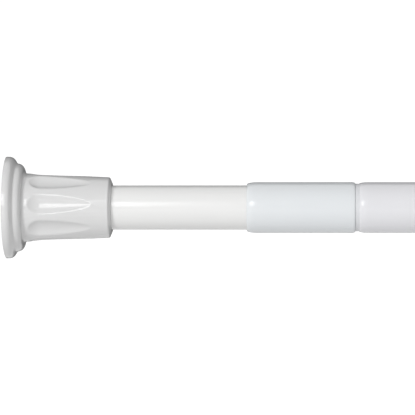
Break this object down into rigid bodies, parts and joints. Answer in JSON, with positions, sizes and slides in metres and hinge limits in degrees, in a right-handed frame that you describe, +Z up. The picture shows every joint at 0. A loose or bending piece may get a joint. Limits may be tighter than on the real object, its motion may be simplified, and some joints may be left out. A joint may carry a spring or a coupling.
{
  "type": "l-shaped shower curtain rod",
  "caption": "White L-shaped shower curtain rod: telescopic arms with twist-lock collars, a bent corner tube, and stepped, fluted wall roses that slide over screw-on plates.",
  "frame": {"origin": "middle of the long arm's wall face, on the tube's axis", "axes": "+X along the long arm from its wall to the corner, +Y along the short arm from the corner to its wall, +Z up"},
  "size_m": [1.0256, 0.6756, 0.0512],
  "materials": {
    "tube_white": "gloss white baked paint on steel tube",
    "collar_white": "gloss white baked paint",
    "cover_white": "gloss white moulding",
    "plate_white": "satin white moulding",
    "nylon": "natural nylon",
    "ring_rubber": "black rubber",
    "screw_steel": "zinc-plated steel"
  },
  "bodies": {
    "long_wall_arm": {"long_wall_plate": "plate_white", "long_set_screw": "screw_steel", "long_inner_tube": "tube_white", "long_glide_bush": "nylon"},
    "long_cover": {"long_cover": "cover_white", "long_grip_ring": "ring_rubber"},
    "corner_run": {"long_outer_tube": "tube_white", "long_collet": "nylon", "corner_bend": "tube_white", "corner_screws": "screw_steel", "short_outer_tube": "tube_white", "short_collet": "nylon"},
    "long_lock_collar": {"long_lock_collar": "collar_white"},
    "short_lock_collar": {"short_lock_collar": "collar_white"},
    "short_wall_arm": {"short_wall_plate": "plate_white", "short_set_screw": "screw_steel", "short_inner_tube": "tube_white", "short_glide_bush": "nylon"},
    "short_cover": {"short_cover": "cover_white", "short_grip_ring": "ring_rubber"}
  },
  "joints": [
    {"name": "long_extend", "type": "slide", "parent": "long_wall_arm", "child": "corner_run", "axis": [1, 0, 0], "range_m": [0, 0.62]},
    {"name": "short_extend", "type": "slide", "parent": "corner_run", "child": "short_wall_arm", "axis": [0, 1, 0], "range_m": [0, 0.27]},
    {"name": "long_cover_slide", "type": "slide", "parent": "long_wall_arm", "child": "long_cover", "axis": [1, 0, 0], "range_m": [0, 0.06]},
    {"name": "short_cover_slide", "type": "slide", "parent": "short_wall_arm", "child": "short_cover", "axis": [0, -1, 0], "range_m": [0, 0.06]},
    {"name": "long_lock_turn", "type": "hinge", "parent": "corner_run", "child": "long_lock_collar", "pos_m": [0.148, 0, 0], "axis": [1, 0, 0], "range_deg": [0, 60]},
    {"name": "short_lock_turn", "type": "hinge", "parent": "corner_run", "child": "short_lock_collar", "pos_m": [1, 0.502, 0], "axis": [0, -1, 0], "range_deg": [0, 60]}
  ]
}
